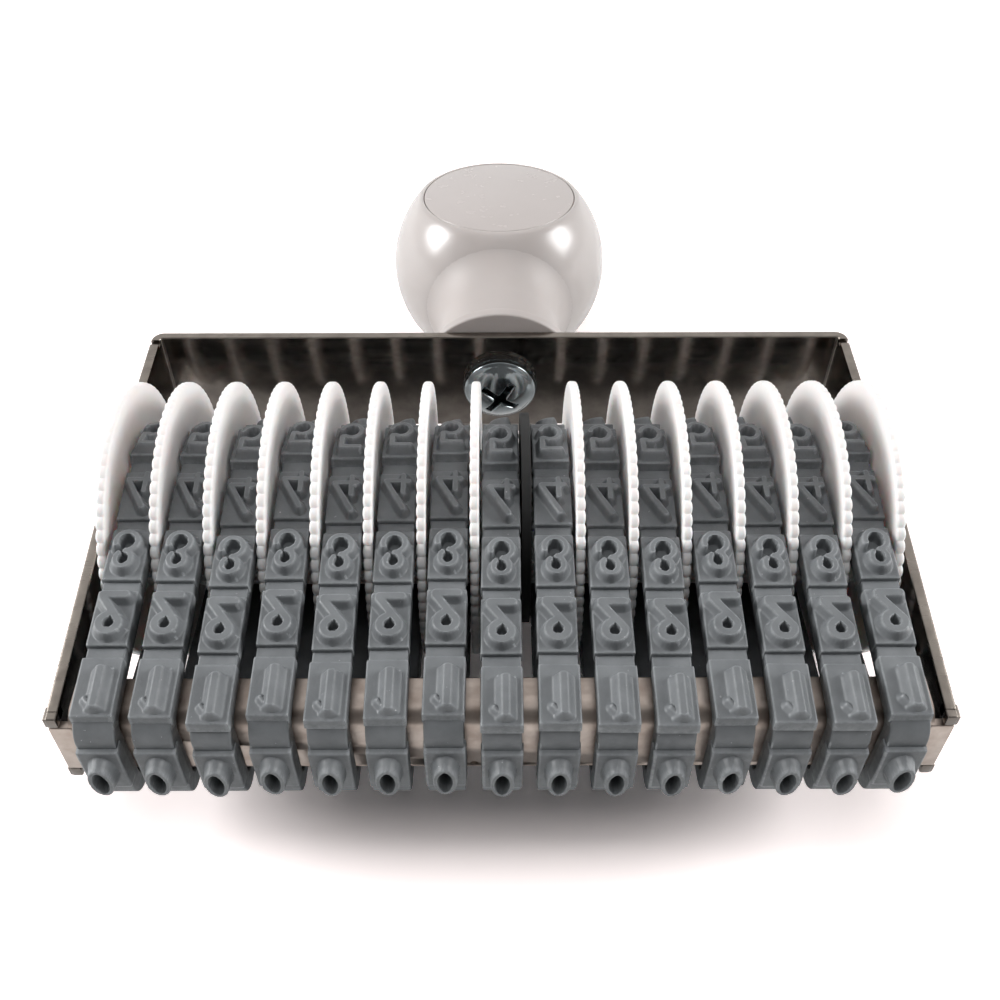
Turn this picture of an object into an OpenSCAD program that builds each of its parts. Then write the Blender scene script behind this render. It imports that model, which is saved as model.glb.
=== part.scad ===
// Hand numbering stamp with rubber digit bands, lying with its print end at -Y and its knob at +Y.
// X runs along the axle of the wheels, and the rims of the wheels touch the ground plane at Z = 0.

/* [Bands] */
// Distance from one digit band to the next
band_pitch = 5.2; // [5:0.05:5.6]
// Thickness of the rubber strip
strip_t = 1.9; // [1.6:0.05:2.2]
// Depth of the band's cord below the inner face, which the spacing of the blocks is measured along
cord_depth = 0.6; // [0.3:0.05:1]
// How much narrower the strip is than its type blocks, on each side
strip_inset = 0.15; // [0.05:0.01:0.3]
// Radius of the strip's inner face where it turns round the bridge
band_corner = 1; // [0.6:0.05:1.6]
// Free space between the band and the bridge
band_seat = 0.05; // [0.02:0.01:0.1]
// Height of a type block above the strip
block_h = 0.5; // [0.4:0.05:0.9]
// Length of a type block along the band, at its foot
block_l = 6.2; // [5.5:0.05:6.4]
// How far the ends of a block lean in
block_end_lean = 0.1; // [0.05:0.05:0.4]
// How far the sides of a block lean in
block_side_lean = 0.05; // [0.02:0.01:0.2]
// How far a block's foot lies inside the strip
block_sink = 0.8; // [0.65:0.05:0.85]
// Share of a band's creep that its printing block follows
front_share = 0.5; // [0:0.05:1]
// How much nearer to the print end the blocks behind the printing blocks sit than an even spacing
row_shift = 0.25; // [0:0.05:0.5]

/* [Wheels] */
// Radius over the teeth of a wheel rim
rim_r = 14.9; // [13.5:0.1:16]
// Width of a wheel rim along the axle
rim_t = 1; // [0.85:0.05:1.3]
// Radial height of the rim
rim_h = 1.6; // [1:0.1:2.5]
// Depth of the tooth spaces
tooth_depth = 0.45; // [0.2:0.05:0.6]
// Depth of the dish in each side of a wheel
dish = 0.15; // [0.05:0.05:0.3]
// Radius of the drum that carries the band
drum_r = 7.25; // [6.5:0.05:7.8]
// Height of the ribs that grip the band
rib_h = 0.35; // [0.2:0.05:0.6]
// Free space between the drum and the band
band_gap = 0.15; // [0.08:0.01:0.3]
// Free space between a band and the wheels on both its sides
side_gap = 0.15; // [0.1:0.01:0.3]
// Play along the axle between pieces that turn
play = 0.1; // [0.05:0.01:0.15]

/* [Axle] */
// Diameter of the axle
axle_d = 3; // [2.4:0.1:4]
// Radial running clearance of the wheels on the axle
axle_clearance = 0.06; // [0.03:0.01:0.1]
// Radial clearance of the axle in the end plates
axle_seat = 0.03; // [0.02:0.01:0.08]
// Diameter of the riveted heads of the axle
axle_head_d = 4.8; // [4.4:0.1:6]
// Height of the riveted heads of the axle
axle_head_h = 0.5; // [0.3:0.1:0.8]
// Diameter of the thrust washers
washer_d = 8; // [6.5:0.5:10]
// Free space between the outer rims and the end plates
plate_clear = 0.7; // [0.4:0.05:1]
// Radius of the spacer disc between the two groups of wheels
spacer_r = 11.5; // [9.5:0.1:12.5]
// Thickness of the spacer disc
spacer_t = 0.95; // [0.6:0.05:1.1]

/* [Frame] */
// Thickness of the frame strip
sheet_t = 1.05; // [0.8:0.05:1.4]
// Width of the frame strip at the handle
strip_w = 14.2; // [12:0.2:16]
// Width of the frame strip at its two tips
tip_w = 9.9; // [9.4:0.1:11]
// Free depth between the wheel rims and the top plate
plate_gap = 7.35; // [6:0.05:10]
// Distance in front of the axle where the end plates start to narrow
taper_start = 5.2; // [2:0.2:8]
// Inner radius of the bends of the frame
bend_r = 0.35; // [0.2:0.05:1]
// Depth of the relief nicks at the ends of the bends
relief = 0.5; // [0.3:0.1:1]
// Width of the relief nicks
relief_w = 0.8; // [0.4:0.1:1.2]
// Length of the swaged pad on each prong
pad_l = 1.5; // [1:0.1:2.5]
// How far the swaged pads stand out sideways
pad_swell = 0.2; // [0.1:0.05:0.4]
// Width of the groove behind each swaged pad
groove_w = 0.35; // [0.2:0.05:0.6]

/* [Print bridge] */
// Distance from the axle to the front face of the bridge
print_reach = 28.8; // [26:0.1:32]
// Height of the bridge over its two flanges
bridge_h = 9.2; // [8.6:0.1:9.6]
// Depth of the bridge, front to back
bridge_depth = 4.8; // [4:0.1:7]
// Thickness of the bridge sheet
bridge_t = 0.9; // [0.6:0.05:1.2]
// Outer radius of the bends of the bridge
bridge_bend = 1.8; // [1.4:0.1:2.4]
// Height of the tabs at the two ends of the bridge
tab_h = 7; // [5.5:0.1:7.6]
// Free space between a tab and the prongs that hold it
tab_gap = 0.05; // [0.02:0.01:0.1]
// Gap between the bridge's flanges and each end plate
flange_gap = 0.8; // [0.4:0.05:1.5]
// Diameter of the tooling hole in the bridge
tooling_hole_d = 0.8; // [0.5:0.1:1.5]

/* [Handle] */
// Radius of the ball
ball_r = 14.2; // [13:0.1:14.8]
// Distance from the top plate to the centre of the ball
ball_reach = 23.9; // [21:0.1:28]
// Distance from the ball's centre to its flat
flat_reach = 9.7; // [9:0.1:11]
// Lean of the flat towards the far end, in degrees
flat_lean = 7; // [0:1:15]
// Radius of the neck
neck_r = 7.4; // [6:0.1:8]
// Radius of the fillet between the neck and the ball
neck_fillet = 3; // [2:0.1:4]
// Radius of the foot
foot_r = 9.7; // [9:0.1:11]
// Thickness of the foot at its rim
foot_t = 1.3; // [0.8:0.1:2]
// Thickness of the badge disc
badge_t = 1.2; // [0.8:0.1:2]
// Width of the lip round the badge disc
badge_lip = 0.5; // [0.3:0.05:1]
// Free space round the badge disc
badge_gap = 0.1; // [0.05:0.01:0.2]

/* [Handle screw] */
// Diameter of the screw's shank
screw_d = 4; // [3:0.1:5]
// Radial clearance of the shank in the top plate
screw_clearance = 0.2; // [0.1:0.05:0.4]
// Diameter of the screw head
screw_head_d = 8.7; // [7.5:0.1:9.5]
// Height of the screw head
screw_head_h = 2.6; // [2.2:0.1:3]
// Depth of the cross recess
recess_depth = 1.5; // [1:0.1:1.8]
// Width of the arms of the cross recess
recess_w = 1.1; // [0.8:0.1:1.5]
// Diameter of the lock washer
lock_washer_d = 9; // [7.5:0.1:10]
// Thickness of the lock washer
lock_washer_t = 0.8; // [0.5:0.05:1]
// Diameter of the threaded insert in the handle
insert_d = 7; // [6:0.1:8]
// Length of the threaded insert
insert_l = 16; // [10:0.5:20]
// Free space between the insert and the handle, and between the shank and the insert
insert_gap = 0.05; // [0.02:0.01:0.1]

/* [Hidden] */
$fn = 64;
band_count = 15;
left_count = 8;
block_count = 12;
place_count = block_count + 1;
tooth_count = 72;
rib_count = 24;
over = 1;
overlap = 0.01;
corner_step = 15;
belt_step = 6;

// How far the blocks of each band have crept towards the print end, from the first band to the last
creep = [-0.6, -0.5, 0.15, -0.65, -0.1, -0.3, -0.65, 0.4, 0.2, 0.35, 0.45, -0.25, 0.2, 0.25, -0.55];

// The widths in the stack on the axle fix the width of the frame
band_w = band_pitch - rim_t - 2 * side_gap;
hub_l = band_pitch - rim_t / 2 - play;
washer_t = plate_clear - play;
stack_half = band_x(band_count) + band_pitch / 2 + rim_t / 2;
inner_half = stack_half + plate_clear;
outer_half = inner_half + sheet_t;
flange_half = inner_half - flange_gap;

// Distances along Y from the axle
plate_inner = rim_r + plate_gap;
plate_outer = plate_inner + sheet_t;
head_seat = plate_inner - lock_washer_t;
ball_y = plate_outer + ball_reach;
print_face = print_reach + band_seat + strip_t + block_h;
far_end = ball_y + ball_r;

// The axle's place: the box is centred on Y, and the rims touch Z = 0
axle_y = (print_face - far_end) / 2;
axle_z = rim_r;

belt_r = drum_r + band_gap;
bore_r = axle_d / 2 + axle_clearance;
mouth_half = tab_h / 2 + tab_gap;
badge_r = sqrt(pow(ball_r, 2) - pow(flat_reach, 2)) - badge_lip;

function numbered(name, i) = str(name, i < 10 ? "_0" : "_", i);
function band_x(i) = (i - (band_count + 1) / 2) * band_pitch;

// Points on an arc, with a turn of at most step degrees between them
function on_circle(c, r, a) = [c[0] + r * cos(a), c[1] + r * sin(a)];
function arc(c, r, from, to, step) =
    let (n = ceil(abs(to - from) / step))
    [for (k = [0:n]) on_circle(c, r, from + (to - from) * k / n)];

// The inner face of a band runs round three circles, [y, z, radius], anticlockwise seen from +X
front_y = band_corner - print_reach - band_seat;
front_z = bridge_h / 2 + band_seat - band_corner;
rounds = [[front_y, -front_z, band_corner], [0, 0, belt_r], [front_y, front_z, band_corner]];
round_count = len(rounds);

function next(j) = (j + 1) % round_count;
function gap_y(j) = rounds[next(j)][0] - rounds[j][0];
function gap_z(j) = rounds[next(j)][1] - rounds[j][1];
function gap_r(j) = rounds[j][2] - rounds[next(j)][2];
function run_length(j) = sqrt(pow(gap_y(j), 2) + pow(gap_z(j), 2) - pow(gap_r(j), 2));

// The angles of the outward normal where the band leaves and meets a circle
function leave(j) = atan2(gap_z(j), gap_y(j)) - atan2(run_length(j), gap_r(j));
function meet(j) = leave((j + round_count - 1) % round_count);
function turn(j) = (leave(j) - meet(j) + 720) % 360;
function arc_length(j) = (rounds[j][2] + cord_depth) * turn(j) * PI / 180;
function length_from(j) = j == round_count ? 0 : arc_length(j) + run_length(j) + length_from(j + 1);

// The point on the strip's outer face at a distance along the cord, and the angle of its normal
function place(s, j = 0) =
    s < arc_length(j)
        ? on_band(j, meet(j) + turn(j) * s / arc_length(j), 0)
        : s < arc_length(j) + run_length(j)
            ? on_band(j, leave(j), s - arc_length(j))
            : place(s - arc_length(j) - run_length(j), j + 1);
function on_band(j, a, run) =
    let (p = on_circle(rounds[j], rounds[j][2] + strip_t, a))
    [p[0] - run * sin(a), p[1] + run * cos(a), a];

// Each band has room for one block more than it carries: the last place, where its ends join, is bare
band_length = length_from(0);
function block_creep(i, k) = k == 0 ? creep[i - 1] * front_share : creep[i - 1] + row_shift;
function block_place(i, k) =
    place(band_length - run_length(round_count - 1) / 2 - k * band_length / place_count + block_creep(i, k));

function loop_points(grow) = [
    for (j = [0:round_count - 1])
        each arc(rounds[j], rounds[j][2] + grow, meet(j), meet(j) + turn(j), belt_step)
];

// Radii and angles of one tooth of the rim and of one rib of the drum, as shares of their pitch
tooth = [[rim_r - tooth_depth, 0], [rim_r - tooth_depth / 4, 0.2], [rim_r, 0.5], [rim_r - tooth_depth / 4, 0.8]];
rib = [[drum_r - rib_h, 0], [drum_r - rib_h, 0.4], [drum_r, 0.55], [drum_r, 0.85]];
function ring_points(shape, count) = [
    for (k = [0:count - 1])
        for (p = shape)
            on_circle([0, 0], p[0], (k + p[1]) * 360 / count)
];

module at_axle() {
    translate([0, axle_y, axle_z]) children();
}

// Extrudes a drawing of the YZ plane along X
module along_x(length) {
    rotate([90, 0, 90]) linear_extrude(length, center = true) children();
}

module rod_x(r, length) {
    rotate([0, 90, 0]) cylinder(r = r, h = length, center = true);
}

module rod_y(r, length) {
    rotate([-90, 0, 0]) cylinder(r = r, h = length);
}

// Strip of sheet bent into a U, in the XY plane, with its tips past the print end
module frame_plan() {
    corner_x = inner_half - bend_r;
    corner_y = plate_inner - bend_r;
    tip = -print_reach - over;
    polygon(concat(
        [[-outer_half, tip], [-inner_half, tip]],
        arc([-corner_x, corner_y], bend_r, 180, 90, corner_step),
        arc([corner_x, corner_y], bend_r, 90, 0, corner_step),
        [[inner_half, tip], [outer_half, tip]],
        arc([corner_x, corner_y], bend_r + sheet_t, 0, 90, corner_step),
        arc([-corner_x, corner_y], bend_r + sheet_t, 90, 180, corner_step)
    ));
}

// Side view of the frame, in the YZ plane: narrower towards the tips, with a mouth for the bridge
module frame_side() {
    mouth = bridge_t - print_reach;
    polygon([
        [plate_outer + over, strip_w / 2],
        [-taper_start, strip_w / 2],
        [-print_reach, tip_w / 2],
        [-print_reach, mouth_half],
        [mouth, mouth_half],
        [mouth, -mouth_half],
        [-print_reach, -mouth_half],
        [-print_reach, -tip_w / 2],
        [-taper_start, -strip_w / 2],
        [plate_outer + over, -strip_w / 2]
    ]);
}

// Nicks in the edges of the end plates, where the bends begin
module bend_relief() {
    for (x = [-1, 1], z = [-1, 1])
        translate([
            x * (outer_half - sheet_t / 2),
            plate_inner - bend_r - relief_w / 2,
            z * (strip_w / 2 + over / 2 - relief / 2)
        ])
            cube([sheet_t + over, relief_w, relief + over], center = true);
}

// Pads pressed out of the prongs that grip the bridge, and the grooves behind them
module prong_pads() {
    pad_h = tip_w / 2 - mouth_half - 2 * tab_gap;
    for (x = [-1, 1], z = [-1, 1])
        translate([
            x * (outer_half + pad_swell / 2 - overlap / 2),
            pad_l / 2 - print_reach,
            z * (tip_w / 2 + mouth_half) / 2
        ])
            cube([pad_swell + overlap, pad_l, pad_h], center = true);
}

module prong_grooves() {
    groove_h = strip_w / 2 - mouth_half;
    for (x = [-1, 1], z = [-1, 1])
        translate([
            x * outer_half,
            pad_l + groove_w / 2 - print_reach,
            z * (mouth_half + groove_h / 2)
        ])
            cube([groove_w, groove_w, groove_h], center = true);
}

module frame() {
    color("silver") at_axle() union() {
        difference() {
            intersection() {
                linear_extrude(strip_w + over, center = true) frame_plan();
                along_x(2 * outer_half + over) frame_side();
            }
            rod_x(axle_d / 2 + axle_seat, 2 * outer_half + over);
            translate([0, plate_inner - over, 0])
                rod_y(screw_d / 2 + screw_clearance, sheet_t + 2 * over);
            bend_relief();
            prong_grooves();
        }
        prong_pads();
    }
}

// Section of the bridge, a channel that opens towards the axle
module bridge_section() {
    bend_y = bridge_bend - print_reach;
    bend_z = bridge_h / 2 - bridge_bend;
    inner_bend = bridge_bend - bridge_t;
    rear = bridge_depth - print_reach;
    polygon(concat(
        [[rear, bridge_h / 2]],
        arc([bend_y, bend_z], bridge_bend, 90, 180, corner_step),
        arc([bend_y, -bend_z], bridge_bend, 180, 270, corner_step),
        [[rear, -bridge_h / 2], [rear, bridge_t - bridge_h / 2]],
        arc([bend_y, -bend_z], inner_bend, 270, 180, corner_step),
        arc([bend_y, bend_z], inner_bend, 180, 90, corner_step),
        [[rear, bridge_h / 2 - bridge_t]]
    ));
}

module print_bridge() {
    tab_l = outer_half - flange_half + overlap;
    hole_x = (band_x(left_count - 1) + band_x(left_count)) / 2;
    color("silver") at_axle() difference() {
        union() {
            along_x(2 * flange_half) bridge_section();
            for (x = [-1, 1])
                translate([x * (outer_half - tab_l / 2), bridge_t / 2 - print_reach, 0])
                    cube([tab_l, bridge_t, tab_h], center = true);
        }
        translate([hole_x, -print_reach - over, bridge_bend - bridge_h / 2])
            rod_y(tooling_hole_d / 2, bridge_t + 2 * over);
    }
}

module axle() {
    color("lightgray") at_axle() union() {
        rod_x(axle_d / 2, 2 * outer_half + axle_head_h);
        for (side = [-90, 90])
            rotate([0, side, 0]) translate([0, 0, outer_half])
                cylinder(d1 = axle_head_d, d2 = axle_d, h = axle_head_h);
    }
}

module thrust_washers() {
    color("lightgray") at_axle()
        for (side = [-90, 90])
            rotate([0, side, 0]) translate([0, 0, inner_half - washer_t]) difference() {
                cylinder(d = washer_d, h = washer_t);
                translate([0, 0, -over]) cylinder(r = bore_r, h = washer_t + 2 * over);
            }
}

module centre_spacer() {
    spacer_x = (band_x(left_count) + band_x(left_count + 1)) / 2;
    color("dimgray") at_axle() translate([spacer_x, 0, 0]) difference() {
        rod_x(spacer_r, spacer_t);
        rod_x(bore_r, spacer_t + over);
    }
}

// A toothed disc with a ribbed drum that reaches across its band towards +X
module wheel_shape() {
    difference() {
        union() {
            difference() {
                along_x(rim_t) polygon(ring_points(tooth, tooth_count));
                for (x = [-1, 1])
                    translate([x * (rim_t + over - dish) / 2, 0, 0])
                        rod_x(rim_r - rim_h, over);
            }
            translate([hub_l / 2, 0, 0]) along_x(hub_l) polygon(ring_points(rib, rib_count));
        }
        rod_x(bore_r, 2 * (hub_l + over));
    }
}

// The drums of the left wheels reach to the right, and those of the right wheels to the left
module wheel(i) {
    side = i > left_count ? 1 : -1;
    color("white") at_axle() translate([band_x(i) + side * band_pitch / 2, 0, 0])
        mirror([i > left_count ? 1 : 0, 0, 0]) wheel_shape();
}

// A block that leans in from its foot to its face, drawn across its height
module leaning_side(foot, lean) {
    polygon([[-foot, -block_sink], [foot, -block_sink], [foot - lean, block_h], [lean - foot, block_h]]);
}

// A type block that stands on the plane Z = 0: X along the axle, Y along the band
module type_block() {
    intersection() {
        rotate([90, 0, 0]) linear_extrude(block_l + over, center = true)
            leaning_side(band_w / 2, block_side_lean);
        along_x(band_w + over) leaning_side(block_l / 2, block_end_lean);
    }
}

module strip_loop() {
    strip_w = band_w - 2 * strip_inset;
    difference() {
        along_x(strip_w) polygon(loop_points(strip_t));
        along_x(strip_w + over) polygon(loop_points(0));
    }
}

module band(i) {
    color("dimgray") at_axle() translate([band_x(i), 0, 0]) union() {
        strip_loop();
        for (k = [0:block_count - 1])
            let (p = block_place(i, k))
                translate([0, p[0], p[1]]) rotate([p[2] - 90, 0, 0]) type_block();
    }
}

// Half outline of the handle's foot and neck, with its far end inside the ball
function neck_points() =
    let (
        foot_fillet = (foot_r - neck_r) * 0.75,
        fillet_x = neck_r + neck_fillet,
        reach = ball_r - badge_gap / 2 + neck_fillet,
        fillet_y = ball_reach - sqrt(pow(reach, 2) - pow(fillet_x, 2))
    )
    concat(
        [[0, 0], [foot_r, 0], [foot_r, foot_t]],
        arc([neck_r + foot_fillet, foot_t + foot_fillet], foot_fillet, 270, 180, corner_step),
        arc([fillet_x, fillet_y], neck_fillet, 180, 180 - acos(fillet_x / reach), corner_step / 2),
        [[0, ball_reach]]
    );

module handle() {
    color("whitesmoke") at_axle() difference() {
        union() {
            translate([0, ball_y, 0]) sphere(r = ball_r);
            translate([0, plate_outer, 0]) rotate([-90, 0, 0]) rotate_extrude() polygon(neck_points());
        }
        translate([0, ball_y, 0]) rotate([-flat_lean, 0, 0]) {
            translate([0, 0, flat_reach]) cylinder(r = ball_r, h = ball_r);
            translate([0, 0, flat_reach - badge_t]) cylinder(r = badge_r + badge_gap, h = badge_t + over);
        }
        translate([0, plate_outer - over, 0])
            rod_y(insert_d / 2 + insert_gap, insert_l + insert_gap + over);
    }
}

module handle_insert() {
    color("gold") at_axle() translate([0, plate_outer, 0]) difference() {
        rod_y(insert_d / 2, insert_l);
        translate([0, -over, 0]) rod_y(screw_d / 2 + insert_gap, insert_l + 2 * over);
    }
}

module handle_screw() {
    head_r = screw_head_d / 2;
    head_round = screw_head_h / 2;
    full_l = screw_head_h + lock_washer_t + sheet_t + insert_l - over;
    arm_l = screw_head_d / 2;
    color("silver") at_axle() translate([0, head_seat - screw_head_h, 0]) rotate([-90, 0, 0]) difference() {
        rotate_extrude() polygon(concat(
            [[0, 0]],
            arc([head_r - head_round, head_round], head_round, 270, 360, corner_step),
            [[head_r, screw_head_h], [screw_d / 2, screw_head_h], [screw_d / 2, full_l], [0, full_l]]
        ));
        for (size = [[arm_l, recess_w], [recess_w, arm_l]])
            cube([size[0], size[1], 2 * recess_depth], center = true);
    }
}

module lock_washer() {
    inner_r = screw_d / 2 + screw_clearance;
    color("silver") at_axle() translate([0, head_seat, 0]) difference() {
        rod_y(lock_washer_d / 2, lock_washer_t);
        translate([0, -over, 0]) rod_y(inner_r, lock_washer_t + 2 * over);
        translate([0, lock_washer_t / 2, -lock_washer_d / 2])
            cube([lock_washer_t, lock_washer_t + over, lock_washer_d], center = true);
    }
}

module badge_disc() {
    color("whitesmoke") at_axle() translate([0, ball_y, 0]) rotate([-flat_lean, 0, 0])
        translate([0, 0, flat_reach - badge_t]) cylinder(r = badge_r, h = badge_t);
}

frame();
print_bridge();
axle();
thrust_washers();
centre_spacer();
handle();
handle_insert();
handle_screw();
lock_washer();
badge_disc();
for (i = [1:band_count]) {
    wheel(i);
    band(i);
}
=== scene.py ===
"""Looks of a hand numbering stamp with rubber digit bands, lying on a pale floor.

Lengths are written in millimetres from the centre of the axle and turned into metres in the
row's frame when a mesh is made. X runs along the axle, -Y is the print end and Z is up.
"""

import math

import bpy
import numpy as np
from mathutils import Euler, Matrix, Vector


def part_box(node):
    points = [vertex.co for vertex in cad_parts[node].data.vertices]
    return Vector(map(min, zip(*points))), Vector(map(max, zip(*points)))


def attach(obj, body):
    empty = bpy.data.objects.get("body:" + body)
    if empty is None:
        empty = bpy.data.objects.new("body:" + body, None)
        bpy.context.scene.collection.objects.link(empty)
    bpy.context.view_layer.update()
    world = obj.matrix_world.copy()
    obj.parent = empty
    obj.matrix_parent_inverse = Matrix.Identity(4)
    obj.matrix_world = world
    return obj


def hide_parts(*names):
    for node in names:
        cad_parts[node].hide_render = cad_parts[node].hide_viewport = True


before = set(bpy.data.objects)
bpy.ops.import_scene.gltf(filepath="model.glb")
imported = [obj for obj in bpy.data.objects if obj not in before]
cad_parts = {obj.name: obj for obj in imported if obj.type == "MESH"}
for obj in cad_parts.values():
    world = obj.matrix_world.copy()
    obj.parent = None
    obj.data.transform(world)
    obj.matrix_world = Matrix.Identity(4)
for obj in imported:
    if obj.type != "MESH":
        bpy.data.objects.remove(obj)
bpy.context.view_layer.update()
MM = 0.001
SEED = 7


def box_mm(node):
    """Lowest and highest corner of a CAD node in millimetres."""
    low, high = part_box(node)
    return np.array(low) / MM, np.array(high) / MM


def centre_mm(node):
    low, high = box_mm(node)
    return (low + high) / 2


AXLE = centre_mm("axle")
BANDS = [f"band_{i:02d}" for i in range(1, 16)]
WHEELS = [f"wheel_{i:02d}" for i in range(1, 16)]
LEFT_COUNT = 8
PITCH = centre_mm(BANDS[1])[0] - centre_mm(BANDS[0])[0]

# The bands: a strip that runs round the drum and the bridge, with a type block at each step
BAND_W = 3.9
STRIP_W = 3.6
STRIP_T = 1.9
STRIP_EDGE = 0.15
CORD = 0.6  # height in the strip at which its length stays the same
BAND_CORNER = 1.0
BAND_SEAT = 0.05
BAND_GAP = 0.15
TURN_STEP = 6  # degrees between the strip's sections in a turn
RUN_STEPS = 4
BLOCK_COUNT = 12
PLACE_COUNT = 13  # places for blocks on the loop, of which one stays free
BLOCK_L = 6.2
BLOCK_H = 0.5
BLOCK_SINK = 0.8  # how far a block reaches into the strip
BLOCK_EDGE = 0.18
BLOCK_CORNER_SHARE = 0.8
RIM_SHEEN_AND_WEAR = 0.1  # how far the pale rims, partly wear and partly painted sheen, reach down the sides
END_LEAN = 0.1
SIDE_LEAN = 0.05
BLOCK_TWIST = 0.5  # most that a block stands askew, in degrees
BLOCK_SHIFT = 0.04

# How far each band has crept round its loop, and how much of that its first block takes up
CREEP = [-0.6, -0.5, 0.15, -0.65, -0.1, -0.3, -0.65, 0.4, 0.2, 0.35, 0.45, -0.25, 0.2, 0.25, -0.55]
FRONT_SHARE = 0.5
ROW_SHIFT = 0.25

# The type on the blocks: a ridge along each stroke, with steep flanks inside its loops.
# A stroke is the half width of its crest, its flank, its drop inside loops and its height.
STROKE = (0.25, 0.44, 0.45, 1.0)
STROKE_OF = {0: (0.2, 0.26, 1.1, 1.35), 2: (0.36, 0.44, 0.45, 1.0)}
STEEP_FLANK = 0.1
FLANK_BLEND = 0.45  # distance from a loop over which the flanks turn steep
LOOP_GAP = 2.2  # ends of a stroke that lie closer than this close a loop
STROKE_STEP = 15  # degrees between the points of a curved stroke
TYPE_CELL = 0.09

# The 1 has a broad bar with long flanks, and a low flag
BAR_X = 0.35
BAR_ENDS = (-1.6, 2.3)
BAR_HALF = 0.3
BAR_FLANK = 0.72
BAR_END_STEEPNESS = 2.4
FLAG_HALF = 0.12
FLAG_FLANK = 0.42
FLAG_SHARE = 0.6

# The bridge
BRIDGE_FRONT = -28.8
BRIDGE_H = 9.2
BRIDGE_DEPTH = 4.8
BRIDGE_T = 0.9
BRIDGE_BEND = 1.8
FLANGE_HALF = 39.4
TAB_H = 7.0
TAB_GAP = 0.05
TAB_ROOT = 0.3
TAB_SET_BACK = 0.01
TAB_EDGE = 0.12
HOLE_D = 0.8
HOLE_X = -2.6
HOLE_Z = -2.8

# The frame
SHEET_T = 1.05
INNER_HALF = 40.2
PLATE_INNER = 22.25
STRIP_HALF = 7.1
TIP_HALF = 4.95
TAPER_Y = -5.2
SIDE_STATIONS = (BRIDGE_FRONT + BRIDGE_T + 0.1, -20, TAPER_Y, 5)
BEND_R = 0.35
SHEET_EDGE = 0.2
NICK_DEPTH = 0.5
NICK_W = 0.8
NICK_SLOPE = 0.03
SHEARED_SLOPE = 0.5  # faces whose normals lean more than this along Z are sheared edges

# The swaged pads at the tips of the frame
PAD_L = 1.5
PAD_ROOT = 0.4
PAD_SWELL = 0.2
PAD_SINK = 0.3
PAD_INSET = 0.05
PAD_SET_BACK = 0.06
PAD_EDGE = 0.15

# The wheels
RIM_R = 14.9
RIM_HALF = 0.47
RIM_H = 1.6
RIM_SLOPE = 0.3
RIM_EDGE = 0.3
WEB_HALF = 0.35
SHOULDER = 0.4 * WEB_HALF + 0.6 * RIM_HALF
TOOTH_COUNT = 72
TOOTH_STEPS = 8
TOOTH_DEPTH = 0.14
TOOTH_DENT = 0.1  # depth of the dents on the side away from the drum
TOOTH_SHARPNESS = 1.3
DRUM_R = 7.25
DRUM_FILLET = (0.4, 0.25)
RIB_COUNT = 24
RIB_H = 0.35
RIB_HALF = 0.2  # share of the ribs' pitch, as RIB_FLANK is
RIB_FLANK = 0.08
BORE_R = 1.56
HUB_L = 4.6

# The handle
BALL_R = 14.2
BALL_Y = 47.2
FLAT_REACH = 9.7
FLAT_LEAN = math.radians(7)
LIP_DROP = 0.105
LIP_TRIM = 1.2  # degrees of the ball that the lip takes up
LIP = [(-0.12, -0.03), (-0.3, 0)]  # points of the lip, from the ball's edge inwards
SEAT_CHAMFER = 0.06
NECK_R = 7.4
NECK_FILLET = 7.5
NECK_SINK = 0.02
FOOT_R = 9.7
FOOT_T = 1.3
FOOT_EDGE = 0.25
FOOT_FILLET_SHARE = 0.75
BADGE_R = 9.87
BADGE_GAP = 0.1
BADGE_T = 1.2
BADGE_EDGE = 0.15

# The screw that holds the handle
HEAD_R = 4.35
HEAD_H = 2.6
HEAD_EDGE = 0.4
DOME_R = 3.95
DOME_H = 1.75
SHANK_R = 2.0
RECESS_W = 1.1
RECESS_TAPER = 0.12
RECESS_REACH = 2.5
RECESS_DEPTH = 1.7
RECESS_TURN = 35
# The recess at several depths, as (share of its outline, depth)
RECESS_RINGS = [(1.0, -0.5), (1.0, RECESS_DEPTH * 0.55), (0.45, RECESS_DEPTH)]

# The stage: light on the object, and what the camera and reflections see
FILL_LEVEL = 0.05
DIM_LEVEL = 0.22
DIM_SIDE = (0, -0.68, 0.73)
DIM_SPAN = (0.5, 0.82)
FLOOR_HALF = 3.0
FLOOR_SEEN = (1.6, 1.46, 1.44)
FLOOR_GLOW = 0.02
FADE = (0.16, 0.42)  # distances in metres between which the floor fades to white
LAMPS = [
    ("top_light", (0, -150, 1150), 700, 4.4),
    ("left_light", (-645, 68, 330), 300, 5.6),
    ("right_light", (647, 45, 325), 300, 4.4),
]
CAMERA_PLACE = (-0.37, -85.03, 95.03)
CAMERA_TURN = (42.68, 0, -0.21)
LENS = 41.74


# ---------------------------------------------------------------- meshes

# Share of a round box's radius that the corners of its end faces keep
LEAST_CORNER = 0.05


def place(points):
    """Millimetres from the axle's centre to metres in the row's frame."""
    return (np.asarray(points, float) + AXLE) * MM


def make_mesh(name, points, faces, material, sharp=35):
    """A mesh object from points in millimetres, smooth but for edges sharper than the angle."""
    mesh = bpy.data.meshes.new(name)
    mesh.from_pydata(place(points).tolist(), [], [list(f) for f in faces])
    mesh.validate()
    mesh.shade_smooth()
    mesh.set_sharp_from_angle(angle=math.radians(sharp))
    mesh.materials.append(material)
    thing = bpy.data.objects.new(name, mesh)
    bpy.context.scene.collection.objects.link(thing)
    return thing


class Parts:
    """Points and faces that are gathered into one mesh."""

    def __init__(self):
        self.points = []
        self.faces = []
        self.count = 0

    def add(self, points, faces):
        points = np.asarray(points, float)
        self.points.append(points)
        self.faces += [[i + self.count for i in f] for f in faces]
        self.count += len(points)

    def all_points(self):
        return np.concatenate(self.points)


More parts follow.
